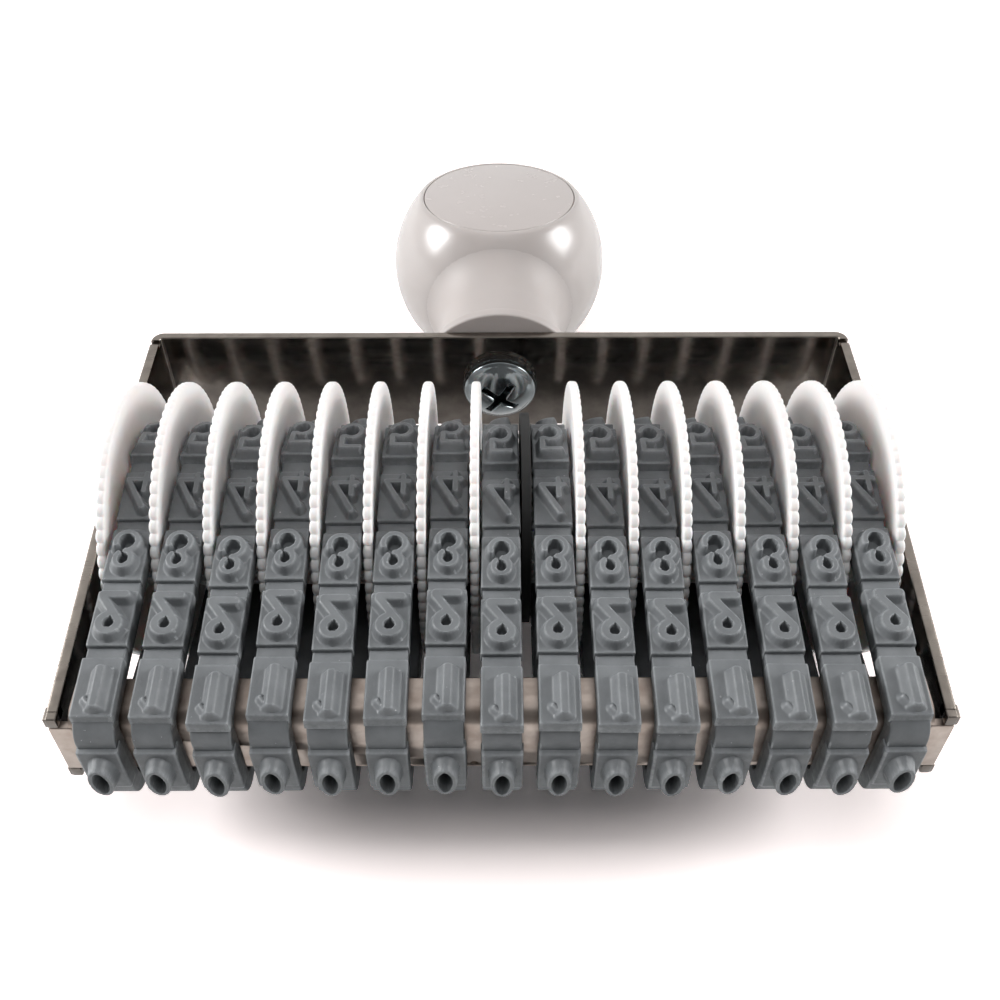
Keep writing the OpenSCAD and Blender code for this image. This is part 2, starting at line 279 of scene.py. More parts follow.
def ring_faces(ring_count, ring_size, closed, cap=False):
    """Quads between closed rings of points that follow one another, in a line or a closed loop."""
    faces = []
    for i in range(ring_count if closed else ring_count - 1):
        a, b = i * ring_size, (i + 1) % ring_count * ring_size
        for j in range(ring_size):
            k = (j + 1) % ring_size
            faces.append([a + j, b + j, b + k, a + k])
    if cap:
        faces.append(list(range(ring_size)))
        faces.append([(ring_count - 1) * ring_size + j for j in reversed(range(ring_size))])
    return faces


def arc(centre, radius, start, stop, step):
    """Points on an arc, from one angle to another in degrees."""
    count = max(1, math.ceil(abs(stop - start) / step))
    angles = np.radians(start + (stop - start) * np.arange(count + 1) / count)
    return [(centre[0] + radius * math.cos(a), centre[1] + radius * math.sin(a)) for a in angles]


def rounded_rectangle(half_a, half_b, radius):
    """Outline of a rectangle with round corners, anticlockwise."""
    a, b = half_a - radius, half_b - radius
    points = []
    for k, centre in enumerate([(a, b), (-a, b), (-a, -b), (a, -b)]):
        points += arc(centre, radius, 90 * k, 90 * (k + 1), 30)
    return points


def lathe(profile, segments):
    """Turns a profile of (radius, height) round the Z axis. A radius of 0 makes a pole."""
    points, rings = [], []
    for radius, height in profile:
        if radius == 0:
            rings.append([len(points)])
            points.append((0, 0, height))
            continue
        first = len(points)
        for k in range(segments):
            a = 2 * math.pi * k / segments
            points.append((radius * math.cos(a), radius * math.sin(a), height))
        rings.append(list(range(first, first + segments)))
    faces = []
    for low, high in zip(rings, rings[1:]):
        for k in range(segments):
            n = (k + 1) % segments
            corners = [low[k % len(low)], low[n % len(low)]]
            corners += [high[n % len(high)], high[k % len(high)]]
            faces.append(list(dict.fromkeys(corners)))
    return np.array(points), faces


def z_to_y(points):
    """Turns local Z to +Y and local Y to -Z."""
    points = np.asarray(points, float)
    return np.stack([points[:, 0], points[:, 2], -points[:, 1]], axis=1)


def rounded_box(low, high, radius):
    """A box with round edges along all three axes, from its lowest and highest corners."""
    low, high = np.array(low, float), np.array(high, float)
    half = (high - low) / 2
    lifts = np.radians([0, 30, 60, 90])
    rings = []
    for side, lift in [(-1, -lift) for lift in lifts[::-1]] + [(1, lift) for lift in lifts]:
        shrink = radius * (1 - math.cos(lift))
        z = side * (half[2] - radius) + radius * math.sin(lift)
        corner = max(radius - shrink, radius * LEAST_CORNER)
        outline = rounded_rectangle(half[0] - shrink, half[1] - shrink, corner)
        rings.append([(x, y, z) for x, y in outline])
    points = np.array([p for ring in rings for p in ring]) + (low + high) / 2
    return points, [f[::-1] for f in ring_faces(len(rings), len(rings[0]), False, cap=True)]


# ---------------------------------------------------------------- materials

# Places of a colour Mix node's sockets, which share their names with those for other types
MIX_A, MIX_B, MIXED = 6, 7, 2


def nodes_of(name):
    """A new material with its node tree and its shader."""
    material = bpy.data.materials.new(name)
    material.use_nodes = True
    tree = material.node_tree
    shader = tree.nodes["Principled BSDF"]
    return material, tree, shader


def add(tree, kind, **values):
    """A new node, with values for its inputs by name and otherwise for its settings."""
    node = tree.nodes.new(kind)
    for key, value in values.items():
        if key in node.inputs:
            node.inputs[key].default_value = value
        else:
            setattr(node, key, value)
    return node


def object_noise(tree, scale, detail, roughness=0.5):
    """Noise over the object's own coordinates, in features per millimetre."""
    coordinates = add(tree, "ShaderNodeTexCoord")
    noise = add(tree, "ShaderNodeTexNoise", Scale=scale / MM, Detail=detail, Roughness=roughness)
    tree.links.new(coordinates.outputs["Object"], noise.inputs["Vector"])
    return noise.outputs["Fac"]


def ramp(tree, source, first, last, span=(0.3, 0.7)):
    """Goes from one colour to another as the source goes through a span."""
    node = tree.nodes.new("ShaderNodeValToRGB")
    for element, position, colour in zip(node.color_ramp.elements, span, (first, last)):
        element.position = position
        element.color = (*colour, 1)
    tree.links.new(source, node.inputs["Fac"])
    return node.outputs["Color"]


def mix_over(tree, share, below, colour, **values):
    """Lays a colour over a colour source, by a share from 0 to 1."""
    node = add(tree, "ShaderNodeMix", data_type="RGBA", **values)
    tree.links.new(share, node.inputs["Factor"])
    tree.links.new(below, node.inputs[MIX_A])
    node.inputs[MIX_B].default_value = (*colour, 1)
    return node.outputs[MIXED]


def combine(tree, operation, first, second):
    """Joins two values by an operation of the Math node."""
    node = add(tree, "ShaderNodeMath", operation=operation)
    tree.links.new(first, node.inputs[0])
    tree.links.new(second, node.inputs[1])
    return node.outputs[0]


def map_range(tree, source, span, first, last):
    """Goes smoothly from one value to another as the source goes through a span."""
    node = add(tree, "ShaderNodeMapRange", interpolation_type="SMOOTHSTEP")
    tree.links.new(source, node.inputs["Value"])
    for key, value in zip(("From Min", "From Max", "To Min", "To Max"), (*span, first, last)):
        node.inputs[key].default_value = value
    return node.outputs["Result"]


def grey(value):
    return (value, value, value)


def bump(tree, shader, source, distance, strength=1.0):
    """Raises the surface by a distance in millimetres where the source is 1."""
    node = add(tree, "ShaderNodeBump", Strength=strength, Distance=distance * MM)
    tree.links.new(source, node.inputs["Height"])
    tree.links.new(node.outputs["Normal"], shader.inputs["Normal"])


def rubber_material():
    """Moulded rubber with some dust, and pale rims that are partly wear and partly painted sheen.
    """
    material, tree, shader = nodes_of("band_rubber")
    cloud = object_noise(tree, 0.35, 6)
    colour = ramp(tree, cloud, (0.122, 0.13, 0.137), (0.178, 0.188, 0.196))
    dust = ramp(tree, object_noise(tree, 2.2, 2, 0.6), grey(0), grey(1), (0.74, 0.8))
    colour = mix_over(tree, dust, colour, grey(0.5))
    shape = tree.nodes.new("ShaderNodeNewGeometry")
    # Painted sheen: pointiness makes convex edges paler, standing in for the highlight along the
    # rims, and the noise patches mix in real wear
    rims = ramp(tree, shape.outputs["Pointiness"], grey(0), grey(1), (0.51, 0.58))
    patches = ramp(tree, object_noise(tree, 1.6, 4, 0.7), grey(0.25), grey(1), (0.35, 0.6))
    sheen_and_wear = combine(tree, "MULTIPLY", rims, patches)
    colour = mix_over(tree, sheen_and_wear, colour, (0.3, 0.315, 0.325))
    tree.links.new(colour, shader.inputs["Base Color"])
    rough = ramp(tree, object_noise(tree, 1.3, 5), grey(0.38), grey(0.58), (0.35, 0.65))
    tree.links.new(rough, shader.inputs["Roughness"])
    shader.inputs["Specular IOR Level"].default_value = 0.5
    bump(tree, shader, object_noise(tree, 3.0, 5, 0.65), 0.035)
    return material


def wheel_material():
    """White plastic that lets a little light through."""
    material, tree, shader = nodes_of("wheel_plastic")
    colour = ramp(tree, object_noise(tree, 0.08, 3), (0.86, 0.83, 0.82), (0.93, 0.91, 0.9))
    tree.links.new(colour, shader.inputs["Base Color"])
    rough = ramp(tree, object_noise(tree, 1.0, 3), grey(0.38), grey(0.48))
    tree.links.new(rough, shader.inputs["Roughness"])
    shader.inputs["Subsurface Weight"].default_value = 0.35
    shader.inputs["Subsurface Radius"].default_value = (1.0, 0.75, 0.65)
    shader.inputs["Subsurface Scale"].default_value = 0.9 * MM
    bump(tree, shader, object_noise(tree, 2.0, 3), 0.006)
    return material


def metal_material(name, dark, pale, rough, grain=1.5):
    """Plated metal with small blemishes and with faint streaks along X, so many per millimetre."""
    material, tree, shader = nodes_of(name)
    coordinates = add(tree, "ShaderNodeTexCoord")
    stretch = add(tree, "ShaderNodeMapping")
    stretch.inputs["Scale"].default_value = (0.06, 1, 1)
    tree.links.new(coordinates.outputs["Object"], stretch.inputs["Vector"])
    streaks = add(tree, "ShaderNodeTexNoise", Scale=grain / MM, Detail=5.0, Roughness=0.6)
    tree.links.new(stretch.outputs["Vector"], streaks.inputs["Vector"])
    colour = ramp(tree, object_noise(tree, 0.5, 5), dark, pale)
    tree.links.new(colour, shader.inputs["Base Color"])
    polish = ramp(tree, streaks.outputs["Fac"], grey(rough[0]), grey(rough[1]), (0.35, 0.65))
    tree.links.new(polish, shader.inputs["Roughness"])
    shader.inputs["Metallic"].default_value = 1.0
    bump(tree, shader, streaks.outputs["Fac"], 0.004, 0.5)
    return material


def gloss_material(name, dark, pale, rough, coat=0.0, depth=0.2):
    """Moulded plastic with a coat, which lets light through by its depth from 0 to 1."""
    material, tree, shader = nodes_of(name)
    colour = ramp(tree, object_noise(tree, 0.05, 3), dark, pale)
    tree.links.new(colour, shader.inputs["Base Color"])
    polish = ramp(tree, object_noise(tree, 0.7, 4), grey(rough), grey(rough + 0.04))
    tree.links.new(polish, shader.inputs["Roughness"])
    shader.inputs["Subsurface Weight"].default_value = depth
    shader.inputs["Subsurface Radius"].default_value = (1.0, 0.8, 0.7)
    shader.inputs["Subsurface Scale"].default_value = 1.5 * MM
    shader.inputs["Coat Weight"].default_value = coat
    shader.inputs["Coat Roughness"].default_value = 0.24
    bump(tree, shader, object_noise(tree, 0.5, 2), 0.0015)
    return material


RUBBER = rubber_material()
WHITE = wheel_material()
# The frame's sheet is the same plated nickel as the bridge; its darker tone is painted shade,
# standing in for the dark reflections on its inner faces
SHEET = metal_material(
    "nickel_sheet", (0.15, 0.132, 0.118), (0.22, 0.194, 0.173), rough=(0.1, 0.2), grain=1.2
)
SHEARED = metal_material(
    "sheared_nickel", (0.2, 0.175, 0.155), (0.28, 0.25, 0.22), rough=(0.25, 0.4), grain=1.2
)
BRIDGE = metal_material(
    "nickel_bridge", (0.38, 0.305, 0.262), (0.56, 0.485, 0.435), rough=(0.3, 0.42)
)
WASHER = metal_material("washer_steel", grey(0.2), grey(0.28), rough=(0.2, 0.3))
STEEL = metal_material("axle_steel", grey(0.45), grey(0.55), rough=(0.25, 0.35))
ZINC = metal_material("zinc_screw", (0.2, 0.225, 0.235), (0.3, 0.325, 0.335), rough=(0.1, 0.18))
BRASS = metal_material("insert_brass", (0.6, 0.42, 0.18), (0.7, 0.5, 0.24), rough=(0.25, 0.35))
SPACER = gloss_material("spacer_grey", grey(0.012), grey(0.018), rough=0.6)
HANDLE_COLOURS = (0.46, 0.419, 0.403), (0.506, 0.465, 0.448)
HANDLE = gloss_material("handle_plastic", *HANDLE_COLOURS, rough=0.22, coat=0.25)
NECK = gloss_material("neck_plastic", *HANDLE_COLOURS, rough=0.5)
BADGE = gloss_material(
    "badge_plastic", (0.47, 0.427, 0.41), (0.51, 0.466, 0.45), rough=0.24, coat=0.15, depth=0.0
)


def dress(node, material):
    """Gives a CAD node its material."""
    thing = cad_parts[node]
    for slot in thing.material_slots:
        slot.material = material


def finish_piece(piece, body, slot, *replaced):
    """Puts a piece on its body and hides the CAD nodes that it stands for. The slot is not used."""
    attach(piece, body)
    if replaced:
        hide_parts(*replaced)
    return piece


# ---------------------------------------------------------------- type


def ellipse(cx, cy, rx, ry, start, stop):
    """Points on an ellipse, from one angle to another in degrees."""
    count = max(2, math.ceil(abs(stop - start) / STROKE_STEP))
    angles = np.radians(start + (stop - start) * np.arange(count + 1) / count)
    return [(cx + rx * math.cos(a), cy + ry * math.sin(a)) for a in angles]


def strokes_of(digit):
    """Middle lines of a digit's strokes in millimetres: X to the right, Y towards its top.

    10 is a blank block and 11 a dash.
    """
    w, h = 1.0, 2.05
    six = [ellipse(0, -0.95, w, 1.1, 0, 360), ellipse(0.8, -0.6, 1.8, 2.65, 180, 97)]
    return {
        0: [ellipse(0, 0, 0.88, 1.9, 0, 360)],
        1: [[(-0.65, 1.4), (0.1, 2.25)]],
        2: [ellipse(0.05, 1.05, 0.88, 0.88, 250, -20) + [(-w, -1.75), (-w, -h), (1.1, -h)]],
        3: [ellipse(0.05, 1.1, 0.74, 0.86, 225, -85), ellipse(0.05, -0.9, 1.05, 1.1, 85, -195)],
        4: [[(0.7, h), (-1.1, -1.3), (1.15, -1.3)], [(0.6, -h), (0.6, 0.1)]],
        5: [[(1.0, h), (-0.85, h), (-0.85, 0.2)] + ellipse(0, -0.85, 1.0, 1.2, 125, -165)],
        6: six,
        7: [[(-w, h), (w, h), (-0.25, -h)]],
        8: [ellipse(0, 1.05, 0.85, 1.0, 0, 360), ellipse(0, -1.0, w, 1.05, 0, 360)],
        9: [[(-x, -y) for x, y in line] for line in six],
        10: [],
        11: [[(-0.55, 0), (0.55, 0)]],
    }[digit]


def counters_of(digit):
    """Outlines of the spaces that a digit's strokes enclose, or nearly enclose."""
    strokes = strokes_of(digit)
    if digit in (0, 3, 6, 8, 9):
        return [line for line in strokes if math.dist(line[0], line[-1]) < LOOP_GAP]
    return {
        2: [ellipse(0.05, 1.05, 0.88, 0.88, 0, 360)],
        4: [[(-1.1, -1.3), (0.6, -1.3), (0.6, 0.1), (-0.35, 0.1)]],
        5: [ellipse(0, -0.85, 1.0, 1.2, 0, 360)],
    }.get(digit, [])


def distance_to(lines, x, y):
    """Distance from each point to the nearest of the lines."""
    best = np.full(x.shape, BLOCK_L + BAND_W)
    for line in lines:
        for (x0, y0), (x1, y1) in zip(line, line[1:]):
            dx, dy = x1 - x0, y1 - y0
            t = np.clip(((x - x0) * dx + (y - y0) * dy) / (dx * dx + dy * dy), 0, 1)
            best = np.minimum(best, np.hypot(x - x0 - t * dx, y - y0 - t * dy))
    return best


def smooth_step(t):
    """Goes from 0 to 1 with soft ends."""
    t = np.clip(t, 0, 1)
    return t * t * (3 - 2 * t)


def is_inside(outline, x, y):
    """Whether each point lies within a closed outline."""
    found = np.zeros(x.shape, bool)
    for (x0, y0), (x1, y1) in zip(outline, outline[1:] + outline[:1]):
        if y0 != y1:
            crosses = (y0 > y) != (y1 > y)
            found ^= crosses & (x < x0 + (y - y0) * (x1 - x0) / (y1 - y0))
    return found


def ridge(distance, half, flank):
    """Height from 0 to 1 of a ridge at a distance from its middle line."""
    t = np.clip((distance - half) / flank, 0, 1)
    return 0.5 * (1 - smooth_step(t)) + 0.5 * (1 - t)


def type_height(digit, x, y):
    """Height of the type over a point of the block's face. The type reads in a mirror."""
    y = -y
    away = distance_to(strokes_of(digit), x, y)
    if digit == 1:
        bar = [[(BAR_X, end * BAR_END_STEEPNESS) for end in BAR_ENDS]]
        long = ridge(distance_to(bar, x, y * BAR_END_STEEPNESS), BAR_HALF, BAR_FLANK)
        return np.maximum(long, FLAG_SHARE * ridge(away, FLAG_HALF, FLAG_FLANK))
    half, slope, depth, height = STROKE_OF.get(digit, STROKE)
    flank, drop = np.full(x.shape, slope), np.zeros(x.shape)
    for outline in counters_of(digit):
        inside = is_inside(outline, x, y)
        edge = distance_to([outline + outline[:1]], x, y)
        steep = smooth_step(np.where(inside, 0, edge) / FLANK_BLEND)
        flank = np.minimum(flank, STEEP_FLANK + (slope - STEEP_FLANK) * steep)
        sunk = smooth_step((edge - half - STEEP_FLANK / 2) / STEEP_FLANK)
        drop = np.maximum(drop, depth * inside * sunk)
    return height * ridge(away, half, flank) - drop


def block_mesh(digit):
    """A type block on the plane Z = 0: X along the axle and Y along the band."""
    edge = BLOCK_EDGE
    half_x = BAND_W / 2 - SIDE_LEAN - edge
    half_y = BLOCK_L / 2 - END_LEAN - edge
    nx, ny = round(2 * half_x / TYPE_CELL), round(2 * half_y / TYPE_CELL)
    along_x, along_y = np.linspace(-half_x, half_x, nx + 1), np.linspace(-half_y, half_y, ny + 1)
    x, y = np.meshgrid(along_x, along_y, indexing="ij")
    z = BLOCK_H + type_height(digit, x, y)
    points = [np.stack([x, y, z], axis=-1).reshape(-1, 3)]
    index = np.arange((nx + 1) * (ny + 1)).reshape(nx + 1, ny + 1)
    corners = [index[:-1, :-1], index[1:, :-1], index[1:, 1:], index[:-1, 1:]]
    faces = np.stack(corners, axis=-1).reshape(-1, 4).tolist()
    rim = np.concatenate([index[:-1, 0], index[-1, :-1], index[:0:-1, -1], index[0, :0:-1]])
    start = points[0][rim].copy()
    out = np.zeros((len(rim), 2))
    for axis, half in enumerate((half_x, half_y)):
        on_side = np.isclose(np.abs(start[:, axis]), half)
        out[:, axis] = np.where(on_side, np.sign(start[:, axis]), 0)
    soften = np.where(np.abs(out).sum(axis=1) == 2, BLOCK_CORNER_SHARE, 1.0)

    levels = []
    for lift in np.radians([30, 60, 90]):
        reach = edge * math.sin(lift)
        levels.append((reach, reach, BLOCK_H - edge * (1 - math.cos(lift))))
    levels.append((edge, edge, BLOCK_H - edge - RIM_SHEEN_AND_WEAR))
    levels.append((edge + SIDE_LEAN, edge + END_LEAN, -BLOCK_SINK))
    previous, count = rim, len(points[0])
    for out_x, out_y, level in levels:
        ring = start.copy()
        ring[:, 0] += out[:, 0] * out_x * soften
        ring[:, 1] += out[:, 1] * out_y * soften
        ring[:, 2] = level
        points.append(ring)
        here = np.arange(count, count + len(rim))
        count += len(rim)
        for k in range(len(rim)):
            n = (k + 1) % len(rim)
            faces.append([previous[k], here[k], here[n], previous[n]])
        previous = here
    faces.append(list(reversed(previous.tolist())))
    return np.concatenate(points), [[int(i) for i in f] for f in faces]


BLOCKS = [block_mesh(digit) for digit in range(BLOCK_COUNT)]


class BandPath:
    """The way of a band's inner face round three circles, anticlockwise seen from +X.

    A circle is (y, z, radius). Distances run along the strip's cord.
    """

    def __init__(self):
        y = BAND_CORNER + BRIDGE_FRONT - BAND_SEAT
        z = BRIDGE_H / 2 + BAND_SEAT - BAND_CORNER
        self.rounds = [(y, -z, BAND_CORNER), (0, 0, DRUM_R + BAND_GAP), (y, z, BAND_CORNER)]
        count = len(self.rounds)
        self.runs, self.leave = [], []
        for j in range(count):
            (y0, z0, r0), (y1, z1, r1) = self.rounds[j], self.rounds[(j + 1) % count]
            run = math.sqrt((y1 - y0) ** 2 + (z1 - z0) ** 2 - (r0 - r1) ** 2)
            self.runs.append(run)
            self.leave.append(math.atan2(z1 - z0, y1 - y0) - math.atan2(run, r0 - r1))
        self.meet = [self.leave[j - 1] for j in range(count)]
        self.turns = [(self.leave[j] - self.meet[j]) % (2 * math.pi) for j in range(count)]
        self.arcs = [(self.rounds[j][2] + CORD) * self.turns[j] for j in range(count)]
        self.length = sum(self.arcs) + sum(self.runs)

    def at(self, distance, raise_by):
        """(y, z, angle of the outward normal) at a distance, raised over the inner face."""
        distance %= self.length
        for j, bow in enumerate(self.arcs):
            if distance < bow:
                angle = self.meet[j] + self.turns[j] * distance / bow
                return self.point(j, angle, 0, raise_by)
            distance -= bow
            if distance < self.runs[j]:
                return self.point(j, self.leave[j], distance, raise_by)
            distance -= self.runs[j]
        return self.point(0, self.meet[0], 0, raise_by)

    def point(self, j, angle, run, raise_by):
        """A point on circle j, moved on by a straight run."""
        y, z, radius = self.rounds[j]
        y += (radius + raise_by) * math.cos(angle) - run * math.sin(angle)
        z += (radius + raise_by) * math.sin(angle) + run * math.cos(angle)
        return y, z, angle

    def stations(self):
        """Distances at which the strip's section is set."""
        marks, start = [], 0
        for turn, bow, run in zip(self.turns, self.arcs, self.runs):
            count = max(3, math.ceil(math.degrees(turn) / TURN_STEP))
            marks += [start + bow * k / count for k in range(count + 1)]
            start += bow
            marks += [start + run * k / RUN_STEPS for k in range(1, RUN_STEPS)]
            start += run
        return marks

    def block(self, i, k):
        """Place of block k on band i, with the first on the middle of the front."""
        creep = CREEP[i] * FRONT_SHARE if k == 0 else CREEP[i] + ROW_SHIFT
        middle = self.length - self.runs[-1] / 2
        return self.at(middle - k * self.length / PLACE_COUNT + creep, STRIP_T)


PATH = BandPath()


def sheen_and_wear_section(half_a, half_b, radius):
    """A rounded rectangle that stands on zero, with points on its flats close to each corner."""
    points = rounded_rectangle(half_a, half_b, radius)
    size = len(points) // 4
    flats = [((0, -1), (-1, 0)), ((1, 0), (0, -1)), ((0, 1), (1, 0)), ((-1, 0), (0, 1))]
    outline = []
    for k, (back, on) in enumerate(flats):
        corner = points[k * size:(k + 1) * size]
        (a0, b0), (a1, b1) = corner[0], corner[-1]
        outline.append((a0 + back[0] * RIM_SHEEN_AND_WEAR, b0 + back[1] * RIM_SHEEN_AND_WEAR))
        outline += corner
        outline.append((a1 + on[0] * RIM_SHEEN_AND_WEAR, b1 + on[1] * RIM_SHEEN_AND_WEAR))
    return [(a, b + half_b) for a, b in outline]


def add_strip(parts, x):
    """Adds the smooth loop that carries a band's blocks."""
    section = sheen_and_wear_section(STRIP_W / 2, STRIP_T / 2, STRIP_EDGE)
    marks = PATH.stations()
    points = []
    for mark in marks:
        for across, height in section:
            y, z, _ = PATH.at(mark, height)
            points.append((x + across, y, z))
    parts.add(points, ring_faces(len(marks), len(section), True))


def make_band(i, chance):
    """Band i: its loop and its blocks, each a little askew."""
    parts = Parts()
    x = centre_mm(BANDS[i])[0] - AXLE[0]
    add_strip(parts, x)
    for k, (points, faces) in enumerate(BLOCKS):
        y, z, angle = PATH.block(i, k)
        twist = math.radians(chance.uniform(-BLOCK_TWIST, BLOCK_TWIST))
        shift = chance.uniform(-BLOCK_SHIFT, BLOCK_SHIFT)
        local_x = points[:, 0] * math.cos(twist) - points[:, 1] * math.sin(twist) + shift
        local_y = points[:, 0] * math.sin(twist) + points[:, 1] * math.cos(twist)
        local_z = points[:, 2]
        s, c = math.sin(angle), math.cos(angle)
        moved = [x + local_x, y + local_y * s + local_z * c, z - local_y * c + local_z * s]
        parts.add(np.stack(moved, axis=1), faces)
    return make_mesh(f"rubber_{BANDS[i]}", parts.all_points(), parts.faces, RUBBER, sharp=50)


chance = np.random.default_rng(SEED)
for i, node in enumerate(BANDS):
    finish_piece(make_band(i, chance), "stamp", "band_rubber", node)


# ---------------------------------------------------------------- wheels


def wheel_mesh():
    """A disc with a toothed rim and a ribbed drum that reaches towards +X, round the X axis."""
    steps = TOOTH_COUNT * TOOTH_STEPS
    angle = 2 * np.pi * np.arange(steps) / steps
    phase = (angle * TOOTH_COUNT / (2 * np.pi)) % 1
    valley = (1 - np.abs(np.sin(np.pi * phase))) ** TOOTH_SHARPNESS
    rib_phase = (angle * RIB_COUNT / (2 * np.pi)) % 1
    rib = np.clip((np.abs(rib_phase - 0.5) - RIB_HALF) / RIB_FLANK, 0, 1)
    rim_r = RIM_R - TOOTH_DEPTH * valley
    rim_half = RIM_HALF - TOOTH_DENT * valley
    drum_r = DRUM_R - RIB_H * rib
    flat = np.ones(steps)
    edge = RIM_EDGE
    lifts = np.radians([0, 22, 45, 67, 90])
    inner_r = RIM_R - RIM_H
    foot_r, foot_x = DRUM_R + DRUM_FILLET[0], WEB_HALF + DRUM_FILLET[1]
    profile = [(BORE_R * flat, -WEB_HALF * flat), ((inner_r - RIM_SLOPE) * flat, -WEB_HALF * flat)]
    profile.append((inner_r * flat, -SHOULDER * flat))
    for lift in lifts:
        inset, drop = edge * (1 - math.sin(lift)), edge * (1 - math.cos(lift))
        profile.append((rim_r - inset, drop - rim_half))
    for lift in lifts[::-1]:
        inset, drop = edge * (1 - math.sin(lift)), edge * (1 - math.cos(lift))
        profile.append((rim_r - inset, (RIM_HALF - drop) * flat))
    profile.append((inner_r * flat, SHOULDER * flat))
    profile.append(((inner_r - RIM_SLOPE) * flat, WEB_HALF * flat))
    profile += [(foot_r * flat, WEB_HALF * flat), (drum_r, foot_x * flat)]
    profile += [(drum_r, HUB_L * flat), (BORE_R * flat, HUB_L * flat)]
    rings = [np.stack([x, -r * np.sin(angle), r * np.cos(angle)], axis=1) for r, x in profile]
    return np.concatenate(rings), ring_faces(len(rings), steps, True)


WHEEL_POINTS, WHEEL_FACES = wheel_mesh()


def make_wheel(i, chance):
    """Wheel i, turned by part of a tooth. The wheels on the right face the other way."""
    left = i < LEFT_COUNT
    x = (i - (len(WHEELS) - 1) / 2) * PITCH + (-PITCH / 2 if left else PITCH / 2)
    turn = chance.uniform(0, 2 * math.pi / TOOTH_COUNT)
    s, c = math.sin(turn), math.cos(turn)
    points = WHEEL_POINTS.copy()
    points[:, 1] = WHEEL_POINTS[:, 1] * c - WHEEL_POINTS[:, 2] * s
    points[:, 2] = WHEEL_POINTS[:, 1] * s + WHEEL_POINTS[:, 2] * c
    faces = WHEEL_FACES
    if not left:
        points[:, 0] *= -1
        faces = [f[::-1] for f in WHEEL_FACES]
    points[:, 0] += x
    return make_mesh(f"white_{WHEELS[i]}", points, faces, WHITE)


for i, node in enumerate(WHEELS):
    finish_piece(make_wheel(i, chance), node, "wheel_plastic", node)


# ---------------------------------------------------------------- frame and bridge


def frame_stations():
    """Places along the middle of the bent strip: (x, y, outward normal, half height)."""
    middle = INNER_HALF + SHEET_T / 2
    corner_x, corner_y = INNER_HALF - BEND_R, PLATE_INNER - BEND_R
    bend = BEND_R + SHEET_T / 2
    mouth = BRIDGE_FRONT + BRIDGE_T

    def height(y):
        share = (y - BRIDGE_FRONT) / (TAPER_Y - BRIDGE_FRONT)
        return TIP_HALF + (STRIP_HALF - TIP_HALF) * min(1, share)

    nick = corner_y - NICK_W
    right = [(middle, y, (1, 0), height(y)) for y in (mouth, *SIDE_STATIONS, nick)]
    sunk = STRIP_HALF - NICK_DEPTH
    right += [(middle, y, (1, 0), sunk) for y in (nick + NICK_SLOPE, corner_y - NICK_SLOPE)]
    for a in range(0, 91, 10):
        c, s = math.cos(math.radians(a)), math.sin(math.radians(a))
        right.append((corner_x + bend * c, corner_y + bend * s, (c, s), STRIP_HALF))
    left = [(-x, y, (-n[0], n[1]), h) for x, y, n, h in reversed(right)]
    return right + left


def make_frame():
    """The bent strip with its swaged tips. Its sheared edges have a material of their own."""
    parts = Parts()
    points = []
    stations = frame_stations()
    for x, y, n, half in stations:
        for across, up in rounded_rectangle(SHEET_T / 2, half, SHEET_EDGE):
            points.append((x + n[0] * across, y + n[1] * across, up))
    size = len(points) // len(stations)
    parts.add(points, ring_faces(len(stations), size, False, cap=True))
    mouth = TAB_H / 2 + TAB_GAP
    outer = INNER_HALF + SHEET_T
    root_y, root_end = BRIDGE_FRONT, BRIDGE_FRONT + PAD_L + PAD_ROOT
    pad_y, pad_end = BRIDGE_FRONT + PAD_SET_BACK, BRIDGE_FRONT + PAD_L
    for side in (-1, 1):
        root = sorted((side * INNER_HALF, side * outer))
        pad = sorted((side * (INNER_HALF + PAD_SINK), side * (outer + PAD_SWELL)))
        for z0, z1 in ((mouth, TIP_HALF), (-TIP_HALF, -mouth)):
            low, high = z0 + PAD_INSET, z1 - PAD_INSET
            parts.add(*rounded_box((root[0], root_y, z0), (root[1], root_end, z1), SHEET_EDGE))
            parts.add(*rounded_box((pad[0], pad_y, low), (pad[1], pad_end, high), PAD_EDGE))
    thing = make_mesh("bent_frame", parts.all_points(), parts.faces, SHEET)
    thing.data.materials.append(SHEARED)
    for face in thing.data.polygons:
        if abs(face.normal.z) > SHEARED_SLOPE:
            face.material_index = 1
    return thing


def bridge_outline():
    """Section of the bridge in the YZ plane, anticlockwise, with its free edges rounded."""
    bend_y, bend_z = BRIDGE_FRONT + BRIDGE_BEND, BRIDGE_H / 2 - BRIDGE_BEND
    rear, half = BRIDGE_FRONT + BRIDGE_DEPTH, BRIDGE_H / 2
    inner = BRIDGE_BEND - BRIDGE_T
    edge = SHEET_EDGE
    points = arc((rear - edge, half - edge), edge, 0, 90, 30)
    points += arc((bend_y, bend_z), BRIDGE_BEND, 90, 180, 6)
    points += arc((bend_y, -bend_z), BRIDGE_BEND, 180, 270, 6)
    points += arc((rear - edge, edge - half), edge, 270, 360, 30)
    points += arc((rear - edge, BRIDGE_T - edge - half), edge, 0, 90, 30)
    points += arc((bend_y, -bend_z), inner, 270, 180, 10)
    points += arc((bend_y, bend_z), inner, 180, 90, 10)
    points += arc((rear - edge, half - BRIDGE_T + edge), edge, 270, 360, 30)
    return points


def cut_away(thing, points, faces):
    """Takes a closed shape out of a piece."""
    cutter = make_mesh("cutter", points, faces, thing.data.materials[0])
    cut = thing.modifiers.new("cut", "BOOLEAN")
    cut.operation = "DIFFERENCE"
    cut.solver = "EXACT"
    cut.object = cutter
    shape = thing.evaluated_get(bpy.context.evaluated_depsgraph_get())
    mesh = bpy.data.meshes.new_from_object(shape)
    thing.modifiers.clear()
    thing.data = mesh
    bpy.data.objects.remove(cutter)


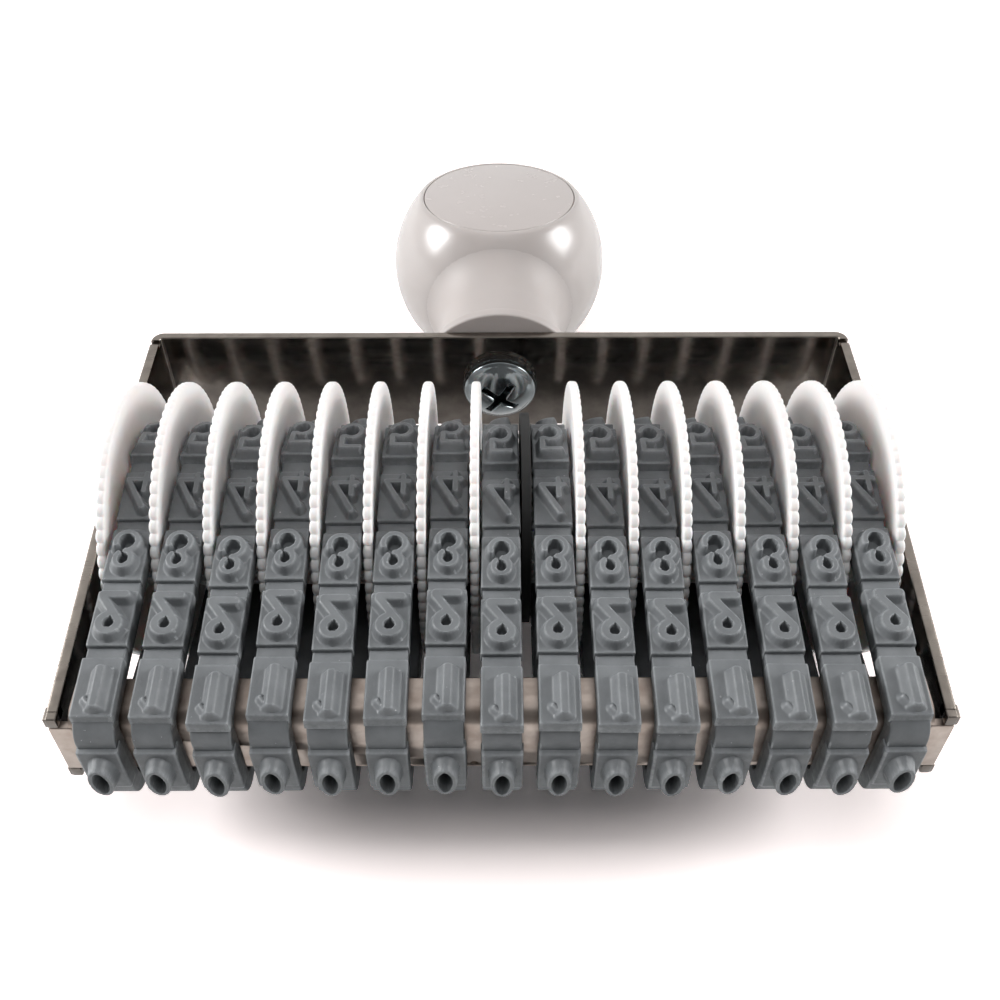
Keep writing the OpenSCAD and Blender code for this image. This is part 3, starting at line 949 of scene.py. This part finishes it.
def make_bridge():
    """The channel under the type, with the small hole in its front."""
    outline = bridge_outline()
    points = [(x, y, z) for x in (-FLANGE_HALF, FLANGE_HALF) for y, z in outline]
    faces = ring_faces(2, len(outline), False, cap=True)
    thing = make_mesh("channel_bridge", points, faces, BRIDGE)
    drill = [(0, -1), (HOLE_D / 2, -1), (HOLE_D / 2, 1), (0, 1)]
    points, faces = lathe(drill, segments=24)
    cut_away(thing, z_to_y(points) + (HOLE_X, BRIDGE_FRONT + BRIDGE_T / 2, HOLE_Z), faces)
    return thing


def make_tabs():
    """The two ends of the bridge's front, which lie between the prongs of the frame."""
    parts = Parts()
    y0, y1 = BRIDGE_FRONT + TAB_SET_BACK, BRIDGE_FRONT + BRIDGE_T
    for side in (-1, 1):
        xs = sorted((side * (FLANGE_HALF - TAB_ROOT), side * (INNER_HALF + SHEET_T)))
        parts.add(*rounded_box((xs[0], y0, -TAB_H / 2), (xs[1], y1, TAB_H / 2), TAB_EDGE))
    return make_mesh("bridge_tabs", parts.all_points(), parts.faces, BRIDGE)


finish_piece(make_frame(), "stamp", "nickel_sheet", "frame")
finish_piece(make_bridge(), "stamp", "nickel_bridge", "print_bridge")
finish_piece(make_tabs(), "stamp", "nickel_bridge", "print_bridge")
dress("axle", STEEL)
dress("thrust_washers", STEEL)
dress("centre_spacer", SPACER)
dress("handle_insert", BRASS)
dress("lock_washer", WASHER)


# ---------------------------------------------------------------- handle


def neck_profile():
    """(radius, distance from the top plate) of the foot and the neck, which ends in the ball."""
    foot_fillet = (FOOT_R - NECK_R) * FOOT_FILLET_SHARE
    reach = BALL_R - NECK_SINK + NECK_FILLET
    across = NECK_R + NECK_FILLET
    ball = BALL_Y - PLATE_INNER - SHEET_T
    along = ball - math.sqrt(reach**2 - across**2)
    turn = math.degrees(math.acos(across / reach))
    edge = FOOT_EDGE
    points = [(0, 0)] + arc((FOOT_R - edge, edge), edge, 270, 360, 30)
    points += arc((FOOT_R - edge, FOOT_T - edge), edge, 0, 90, 30)
    points += arc((NECK_R + foot_fillet, FOOT_T + foot_fillet), foot_fillet, 270, 180, 8)
    points += arc((across, along), NECK_FILLET, 180, 180 - turn, 4)
    return points + [(0, ball)]


def ball_profile():
    """(radius, height) round the axis of the flat: the ball, its lip and the seat of the badge."""
    seat = BADGE_R + BADGE_GAP
    top = FLAT_REACH
    rim = math.sqrt(BALL_R**2 - top**2)
    slope = math.degrees(math.atan2(top - LIP_DROP, rim))
    points = [(0, -BALL_R)] + arc((0, 0), BALL_R, -87, slope - LIP_TRIM, 3)
    points += [(rim + out, top + up) for out, up in LIP]
    points += [(seat + SEAT_CHAMFER, top), (seat, top - SEAT_CHAMFER)]
    return points + [(seat, top - BADGE_T), (0, top - BADGE_T)]


def lean(points):
    """Tips a mesh from +Z towards +Y by the lean of the flat and moves it to the ball."""
    x, y, z = np.asarray(points, float).T
    s, c = math.sin(FLAT_LEAN), math.cos(FLAT_LEAN)
    return np.stack([x, y * c + z * s + BALL_Y, z * c - y * s], axis=1)


def make_neck():
    """The foot and neck, in the ball's colour but duller."""
    points, faces = lathe(neck_profile(), segments=128)
    points = z_to_y(points) + (0, PLATE_INNER + SHEET_T, 0)
    return make_mesh("handle_neck", points, faces, NECK, sharp=40)


def make_handle():
    """The ball with the seat for the badge."""
    points, faces = lathe(ball_profile(), segments=160)
    return make_mesh("ball_handle", lean(points), faces, HANDLE, sharp=40)


def make_badge():
    """The disc in the flat, left bare."""
    edge = BADGE_EDGE
    profile = [(0, FLAT_REACH - BADGE_T), (BADGE_R, FLAT_REACH - BADGE_T)]
    profile += arc((BADGE_R - edge, FLAT_REACH - edge), edge, 0, 90, 30) + [(0, FLAT_REACH)]
    points, faces = lathe(profile, segments=160)
    return make_mesh("bare_badge", lean(points), faces, BADGE, sharp=40)


def recess_outline():
    """A cross with tapered arms, clockwise."""
    half, tip, reach = RECESS_W / 2, RECESS_W / 2 - RECESS_TAPER, RECESS_REACH
    points = []
    for k in range(4):
        turn = math.radians(RECESS_TURN - 90 * k)
        c, s = math.cos(turn), math.sin(turn)
        arm = [(half, half), (reach, tip), (reach, -tip)]
        points += [(x * c - y * s, x * s + y * c) for x, y in arm]
    return points


def make_screw():
    """A screw with a domed head, its recess towards -Y."""
    low, high = box_mm("handle_screw")
    seat = np.array((0, low[1] - AXLE[1], 0))
    end = high[1] - low[1]
    cap_r = (DOME_R**2 + DOME_H**2) / (2 * DOME_H)
    slope = math.degrees(math.asin(DOME_R / cap_r))
    edge = (HEAD_R - HEAD_EDGE, DOME_H + HEAD_EDGE)
    profile = [(0, 0)] + arc((0, cap_r), cap_r, -90, slope - 90, 3)[1:]
    profile += arc(edge, HEAD_EDGE, slope - 90, 0, 12)[1:]
    profile += [(HEAD_R, HEAD_H), (SHANK_R, HEAD_H), (SHANK_R, end), (0, end)]
    points, faces = lathe(profile, segments=96)
    thing = make_mesh("pan_screw", z_to_y(points) + seat, faces, ZINC)
    outline = recess_outline()
    points = [(x * share, y * share, z) for share, z in RECESS_RINGS for x, y in outline]
    faces = ring_faces(len(RECESS_RINGS), len(outline), False, cap=True)
    cut_away(thing, z_to_y(points) + seat, faces)
    return thing


finish_piece(make_screw(), "stamp", "zinc_screw", "handle_screw")
finish_piece(make_neck(), "stamp", "handle_plastic", "handle")
finish_piece(make_handle(), "stamp", "handle_plastic", "handle")
finish_piece(make_badge(), "stamp", "badge_plastic", "badge_disc")


# ---------------------------------------------------------------- stage


def paths_seen(tree):
    """1 for camera, glossy and transmission rays, and 0 for the rays that light the object."""
    path = tree.nodes.new("ShaderNodeLightPath")
    seen = combine(tree, "MAXIMUM", path.outputs["Is Camera Ray"], path.outputs["Is Glossy Ray"])
    return combine(tree, "MAXIMUM", seen, path.outputs["Is Transmission Ray"])


def floor_material():
    """A pale floor that keeps the shadow near the object and fades to white further out."""
    material, tree, shader = nodes_of("pale_floor")
    colour = ramp(tree, object_noise(tree, 0.01, 2), grey(0.93), grey(0.95))
    direct = tree.nodes.new("ShaderNodeLightPath").outputs["Is Camera Ray"]
    colour = mix_over(tree, direct, colour, FLOOR_SEEN, clamp_result=False)
    tree.links.new(colour, shader.inputs["Base Color"])
    shader.inputs["Roughness"].default_value = 0.6
    shader.inputs["Emission Color"].default_value = (1, 1, 1, 1)
    where = add(tree, "ShaderNodeTexCoord")
    away = add(tree, "ShaderNodeVectorMath", operation="LENGTH")
    tree.links.new(where.outputs["Object"], away.inputs[0])
    level = map_range(tree, away.outputs["Value"], FADE, FLOOR_GLOW, 1.0)
    glow = combine(tree, "MULTIPLY", paths_seen(tree), level)
    tree.links.new(glow, shader.inputs["Emission Strength"])
    return material


def make_floor():
    """The floor under the object, which is no part of it."""
    mesh = bpy.data.meshes.new("floor")
    corners = [(x * FLOOR_HALF, y * FLOOR_HALF, 0) for x, y in ((-1, -1), (1, -1), (1, 1), (-1, 1))]
    mesh.from_pydata(corners, [], [(0, 1, 2, 3)])
    mesh.materials.append(floor_material())
    floor = bpy.data.objects.new("floor", mesh)
    bpy.context.scene.collection.objects.link(floor)


def make_world():
    """A white room that is darker above the print end, as reflections show."""
    world = bpy.data.worlds.new("pale_room")
    world.use_nodes = True
    tree = world.node_tree
    background = tree.nodes["Background"]
    background.inputs["Color"].default_value = (1, 1, 1, 1)
    where = add(tree, "ShaderNodeTexCoord")
    facing = add(tree, "ShaderNodeVectorMath", operation="DOT_PRODUCT")
    tree.links.new(where.outputs["Generated"], facing.inputs[0])
    facing.inputs[1].default_value = DIM_SIDE
    shade = map_range(tree, facing.outputs["Value"], DIM_SPAN, 1.0, DIM_LEVEL)
    direct = tree.nodes.new("ShaderNodeLightPath").outputs["Is Camera Ray"]
    strength = add(tree, "ShaderNodeMapRange")
    tree.links.new(paths_seen(tree), strength.inputs["Value"])
    strength.inputs["To Min"].default_value = FILL_LEVEL
    tree.links.new(combine(tree, "MAXIMUM", shade, direct), strength.inputs["To Max"])
    tree.links.new(strength.outputs["Result"], background.inputs["Strength"])
    bpy.context.scene.world = world


def area_light(name, where, side, watts):
    """A square lamp in millimetres that points at the middle of the axle."""
    data = bpy.data.lights.new(name, "AREA")
    data.shape = "SQUARE"
    data.size = side * MM
    data.energy = watts
    lamp = bpy.data.objects.new(name, data)
    lamp.location = place([where])[0]
    lamp.rotation_euler = (Vector() - Vector(where)).to_track_quat("-Z", "Y").to_euler()
    bpy.context.scene.collection.objects.link(lamp)
    return lamp


def make_camera():
    """The photograph's camera."""
    data = bpy.data.cameras.new("camera")
    data.sensor_width = 36
    data.lens = LENS
    data.clip_start = 0.005
    camera = bpy.data.objects.new("camera", data)
    camera.location = place([CAMERA_PLACE])[0]
    camera.rotation_euler = Euler([math.radians(angle) for angle in CAMERA_TURN])
    bpy.context.scene.collection.objects.link(camera)
    bpy.context.scene.camera = camera


make_floor()
make_world()
lamps = [area_light(*lamp) for lamp in LAMPS]
lamps[0].visible_glossy = False
make_camera()
bpy.context.scene.view_settings.view_transform = "Standard"
